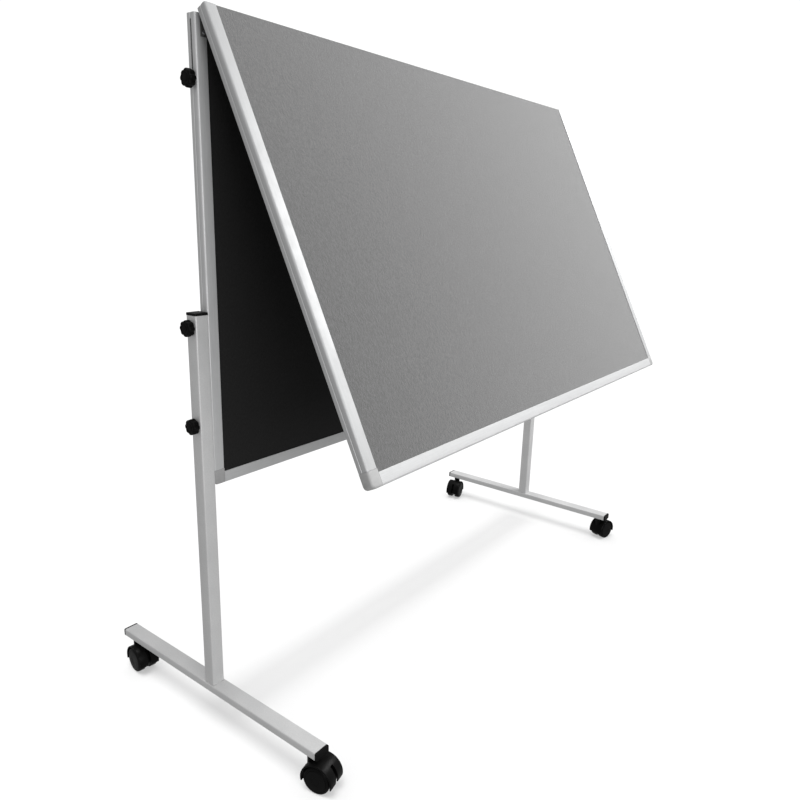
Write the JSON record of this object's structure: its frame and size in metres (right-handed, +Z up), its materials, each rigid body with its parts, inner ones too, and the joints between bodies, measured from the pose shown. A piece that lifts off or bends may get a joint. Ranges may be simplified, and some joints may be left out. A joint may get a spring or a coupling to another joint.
{
  "type": "folding presentation board on castors",
  "caption": "Mobile folding presentation board: two framed textile pin boards hinged along their top edges, carried between two T-shaped tube stands on swivel castors.",
  "frame": {"origin": "on the floor, under the middle of the bounding box of the board as it stands", "axes": "+X along the boards, +Y towards the back, +Z up; the front board faces -Y"},
  "size_m": [1.3064, 0.6452, 1.2249],
  "materials": {
    "anodised_aluminium": "satin, natural anodised, fine lengthwise grain",
    "silver_tube": "satin silver-grey powder coat",
    "black_plastic": "satin, finely grained",
    "castor_plastic": "satin, moulded",
    "grey_plastic": "satin, finely grained",
    "black_steel": "satin black coat",
    "zinc_steel": "zinc plated",
    "grey_felt": "matt woven textile",
    "dark_felt": "matt woven textile",
    "board_core": "raw softboard"
  },
  "bodies": {
    "stand": {"foot_tube_left": "silver_tube", "foot_cap_front_left": "black_plastic", "foot_cap_rear_left": "black_plastic", "post_tube_left": "silver_tube", "post_cap_left": "black_plastic", "hinge_leaf_lower_left": "black_steel", "hinge_pin_left": "zinc_steel", "rear_frame_left": "anodised_aluminium", "rear_corner_left": "grey_plastic", "foot_tube_right": "silver_tube", "foot_cap_front_right": "black_plastic", "foot_cap_rear_right": "black_plastic", "post_tube_right": "silver_tube", "post_cap_right": "black_plastic", "hinge_leaf_lower_right": "black_steel", "hinge_pin_right": "zinc_steel", "rear_frame_right": "anodised_aluminium", "rear_corner_right": "grey_plastic", "rear_frame_bottom": "anodised_aluminium", "rear_core_board": "board_core", "rear_felt_front": "dark_felt", "rear_felt_back": "grey_felt", "castor_stem_front_left": "zinc_steel", "castor_stem_rear_left": "zinc_steel", "castor_stem_front_right": "zinc_steel", "castor_stem_rear_right": "zinc_steel"},
    "front_board": {"front_frame_left": "anodised_aluminium", "front_corner_left": "grey_plastic", "hinge_leaf_upper_left": "black_steel", "front_frame_right": "anodised_aluminium", "front_corner_right": "grey_plastic", "hinge_leaf_upper_right": "black_steel", "front_frame_bottom": "anodised_aluminium", "front_core_board": "board_core", "front_felt_outer": "grey_felt", "front_felt_inner": "dark_felt"},
    "lock_bolt_left": {"lock_bolt_left": "black_steel"},
    "lock_knob_left": {"lock_knob_left": "black_plastic"},
    "clamp_knob_upper_left": {"clamp_knob_upper_left": "black_plastic"},
    "clamp_knob_lower_left": {"clamp_knob_lower_left": "black_plastic"},
    "lock_bolt_right": {"lock_bolt_right": "black_steel"},
    "lock_knob_right": {"lock_knob_right": "black_plastic"},
    "clamp_knob_upper_right": {"clamp_knob_upper_right": "black_plastic"},
    "clamp_knob_lower_right": {"clamp_knob_lower_right": "black_plastic"},
    "castor_front_left": {"castor_hood_front_left": "castor_plastic", "castor_axle_front_left": "zinc_steel"},
    "wheel_a_front_left": {"castor_wheel_a_front_left": "castor_plastic"},
    "wheel_b_front_left": {"castor_wheel_b_front_left": "castor_plastic"},
    "castor_rear_left": {"castor_hood_rear_left": "castor_plastic", "castor_axle_rear_left": "zinc_steel"},
    "wheel_a_rear_left": {"castor_wheel_a_rear_left": "castor_plastic"},
    "wheel_b_rear_left": {"castor_wheel_b_rear_left": "castor_plastic"},
    "castor_front_right": {"castor_hood_front_right": "castor_plastic", "castor_axle_front_right": "zinc_steel"},
    "wheel_a_front_right": {"castor_wheel_a_front_right": "castor_plastic"},
    "wheel_b_front_right": {"castor_wheel_b_front_right": "castor_plastic"},
    "castor_rear_right": {"castor_hood_rear_right": "castor_plastic", "castor_axle_rear_right": "zinc_steel"},
    "wheel_a_rear_right": {"castor_wheel_a_rear_right": "castor_plastic"},
    "wheel_b_rear_right": {"castor_wheel_b_rear_right": "castor_plastic"}
  },
  "joints": [
    {"name": "front_board_hinge", "type": "hinge", "parent": "stand", "child": "front_board", "pos_m": [0, 0.03177, 1.2155], "axis": [-1, 0, 0], "range_deg": [-26.5, 153.5]},
    {"name": "lock_bolt_left_slide", "type": "slide", "parent": "stand", "child": "lock_bolt_left", "axis": [0, 0, 1], "range_m": [0, 0.08]},
    {"name": "lock_knob_left_turn", "type": "hinge", "parent": "lock_bolt_left", "child": "lock_knob_left", "pos_m": [-0.62116, 0.04477, 1.1235], "axis": [-1, 0, 0], "continuous": true},
    {"name": "clamp_knob_upper_left_turn", "type": "hinge", "parent": "stand", "child": "clamp_knob_upper_left", "pos_m": [-0.64466, 0.04327, 0.747], "axis": [-1, 0, 0], "continuous": true},
    {"name": "clamp_knob_lower_left_turn", "type": "hinge", "parent": "stand", "child": "clamp_knob_lower_left", "pos_m": [-0.64466, 0.04327, 0.581], "axis": [-1, 0, 0], "continuous": true},
    {"name": "lock_bolt_right_slide", "type": "slide", "parent": "stand", "child": "lock_bolt_right", "axis": [0, 0, 1], "range_m": [0, 0.08]},
    {"name": "lock_knob_right_turn", "type": "hinge", "parent": "lock_bolt_right", "child": "lock_knob_right", "pos_m": [0.59584, 0.04477, 1.1235], "axis": [1, 0, 0], "continuous": true},
    {"name": "clamp_knob_upper_right_turn", "type": "hinge", "parent": "stand", "child": "clamp_knob_upper_right", "pos_m": [0.61934, 0.04327, 0.747], "axis": [1, 0, 0], "continuous": true},
    {"name": "clamp_knob_lower_right_turn", "type": "hinge", "parent": "stand", "child": "clamp_knob_lower_right", "pos_m": [0.61934, 0.04327, 0.581], "axis": [1, 0, 0], "continuous": true},
    {"name": "castor_front_left_swivel", "type": "hinge", "parent": "stand", "child": "castor_front_left", "pos_m": [-0.62666, -0.21173, 0.045], "axis": [0, 0, 1], "continuous": true},
    {"name": "wheel_a_front_left_roll", "type": "hinge", "parent": "castor_front_left", "child": "wheel_a_front_left", "pos_m": [-0.62261, -0.22927, 0.025], "axis": [0.9744, 0.225, 0], "continuous": true},
    {"name": "wheel_b_front_left_roll", "type": "hinge", "parent": "castor_front_left", "child": "wheel_b_front_left", "pos_m": [-0.62261, -0.22927, 0.025], "axis": [0.9744, 0.225, 0], "continuous": true},
    {"name": "castor_rear_left_swivel", "type": "hinge", "parent": "stand", "child": "castor_rear_left", "pos_m": [-0.62666, 0.29827, 0.045], "axis": [0, 0, 1], "continuous": true},
    {"name": "wheel_a_rear_left_roll", "type": "hinge", "parent": "castor_rear_left", "child": "wheel_a_rear_left", "pos_m": [-0.62854, 0.28037, 0.025], "axis": [0.9945, -0.1045, 0], "continuous": true},
    {"name": "wheel_b_rear_left_roll", "type": "hinge", "parent": "castor_rear_left", "child": "wheel_b_rear_left", "pos_m": [-0.62854, 0.28037, 0.025], "axis": [0.9945, -0.1045, 0], "continuous": true},
    {"name": "castor_front_right_swivel", "type": "hinge", "parent": "stand", "child": "castor_front_right", "pos_m": [0.60134, -0.21173, 0.045], "axis": [0, 0, 1], "continuous": true},
    {"name": "wheel_a_front_right_roll", "type": "hinge", "parent": "castor_front_right", "child": "wheel_a_front_right", "pos_m": [0.61865, -0.21669, 0.025], "axis": [0.2756, 0.9613, 0], "continuous": true},
    {"name": "wheel_b_front_right_roll", "type": "hinge", "parent": "castor_front_right", "child": "wheel_b_front_right", "pos_m": [0.61865, -0.21669, 0.025], "axis": [0.2756, 0.9613, 0], "continuous": true},
    {"name": "castor_rear_right_swivel", "type": "hinge", "parent": "stand", "child": "castor_rear_right", "pos_m": [0.60134, 0.29827, 0.045], "axis": [0, 0, 1], "continuous": true},
    {"name": "wheel_a_rear_right_roll", "type": "hinge", "parent": "castor_rear_right", "child": "wheel_a_rear_right", "pos_m": [0.5838, 0.29422, 0.025], "axis": [0.225, -0.9744, 0], "continuous": true},
    {"name": "wheel_b_rear_right_roll", "type": "hinge", "parent": "castor_rear_right", "child": "wheel_b_rear_right", "pos_m": [0.5838, 0.29422, 0.025], "axis": [0.225, -0.9744, 0], "continuous": true}
  ]
}
